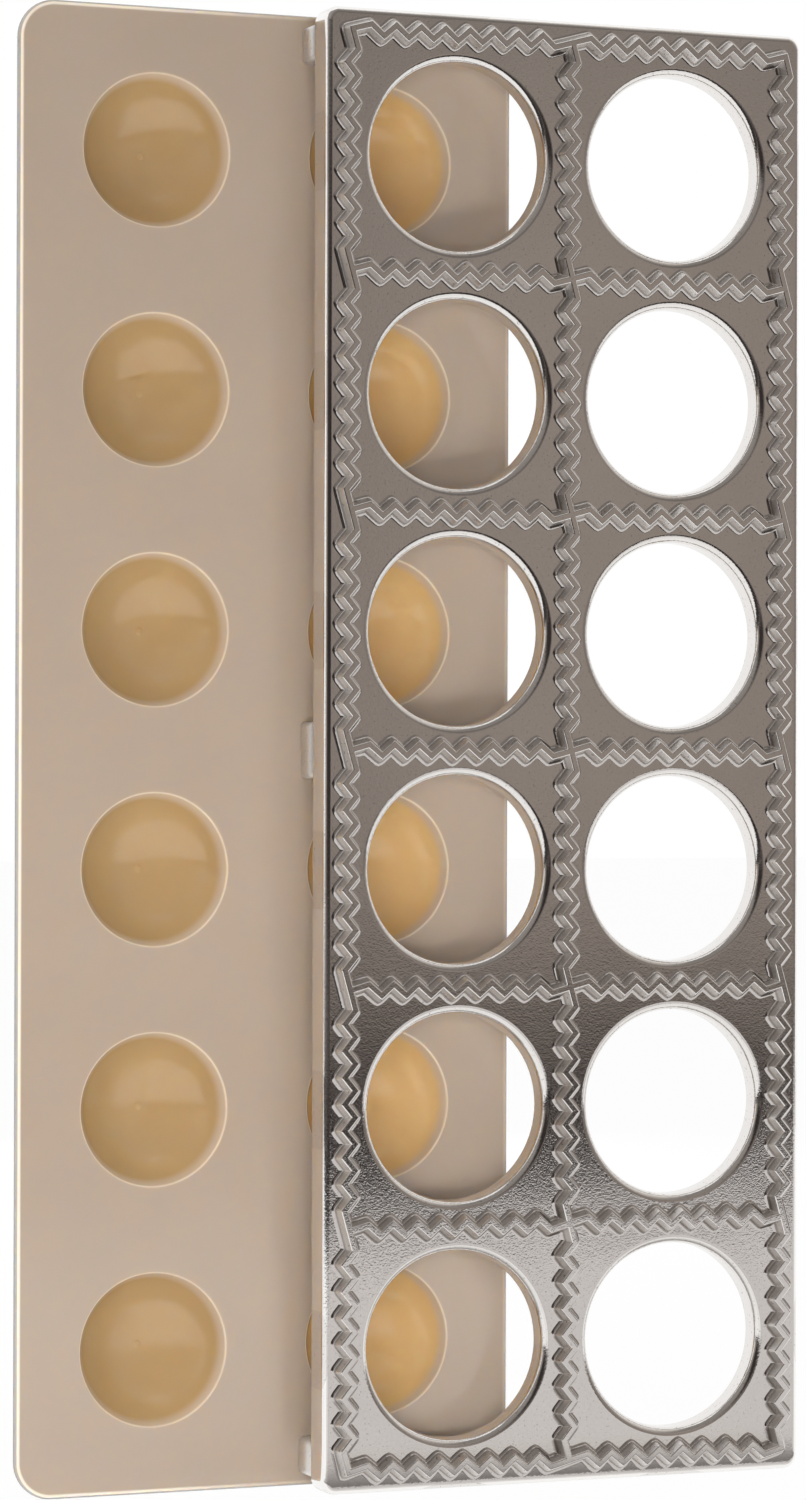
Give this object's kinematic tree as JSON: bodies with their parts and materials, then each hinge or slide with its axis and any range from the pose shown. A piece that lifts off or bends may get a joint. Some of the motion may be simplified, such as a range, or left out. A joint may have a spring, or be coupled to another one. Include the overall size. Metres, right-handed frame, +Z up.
{
  "type": "ravioli mold",
  "caption": "Cast metal ravioli cutter frame with round bores and zigzag ridges, standing before its cupped plastic press tray.",
  "frame": {"origin": "centre of the box round both pieces, on the surface that they stand on", "axes": "+Z up, along the length of both pieces; +X to the right seen from the front; the ridged face of the cutter frame looks along -Y"},
  "size_m": [0.172, 0.0306, 0.31],
  "materials": {
    "cast_metal": "polished casting, brighter on its rolled edges",
    "tray_plastic": "satin cream injection moulding, slightly translucent"
  },
  "bodies": {
    "root": {"cutter_frame": "cast_metal", "press_tray": "tray_plastic"}
  },
  "joints": []
}
